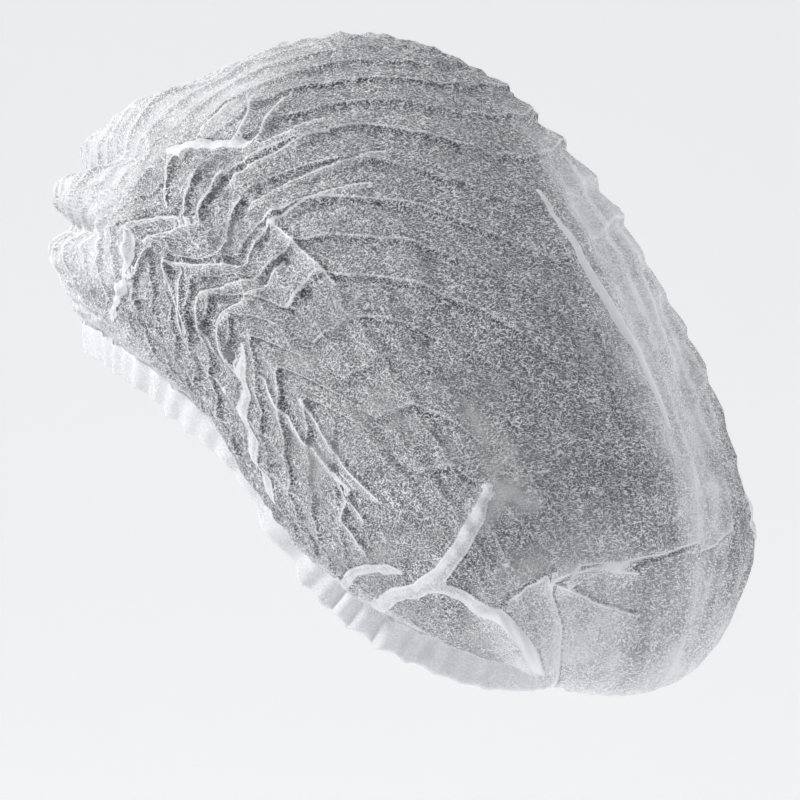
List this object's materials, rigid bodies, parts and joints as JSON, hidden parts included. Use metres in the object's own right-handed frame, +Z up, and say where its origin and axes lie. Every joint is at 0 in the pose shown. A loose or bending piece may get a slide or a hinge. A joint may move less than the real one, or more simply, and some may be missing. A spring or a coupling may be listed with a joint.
{
  "type": "disposable hair cover cap",
  "caption": "Pleated nonwoven bouffant cap in its worn shape, with a full crown, a loose rear pouch and a ruffled elastic hem.",
  "frame": {"origin": "the middle of the opening, half way between the forehead rim and the nape rim, on the cap's middle plane", "axes": "+Z up as worn, -Y toward the forehead, +Y toward the pouch at the back, +X toward the wearer's left"},
  "size_m": [0.2166, 0.2647, 0.233],
  "materials": {
    "nonwoven": "thin white spunbond nonwoven, matt, see-through, mottled with short fibres",
    "nonwoven_hem": "the same nonwoven in two plies, whiter and less see-through",
    "elastic": "thin off-white flat elastic, matt",
    "welded_nonwoven": "nonwoven pleats pressed together by a heat weld, smoother and denser"
  },
  "bodies": {
    "root": {"crown_fabric": "nonwoven", "rim_hem": "nonwoven_hem", "rim_elastic": "elastic", "front_end_weld": "welded_nonwoven", "back_end_weld": "welded_nonwoven"}
  },
  "joints": []
}
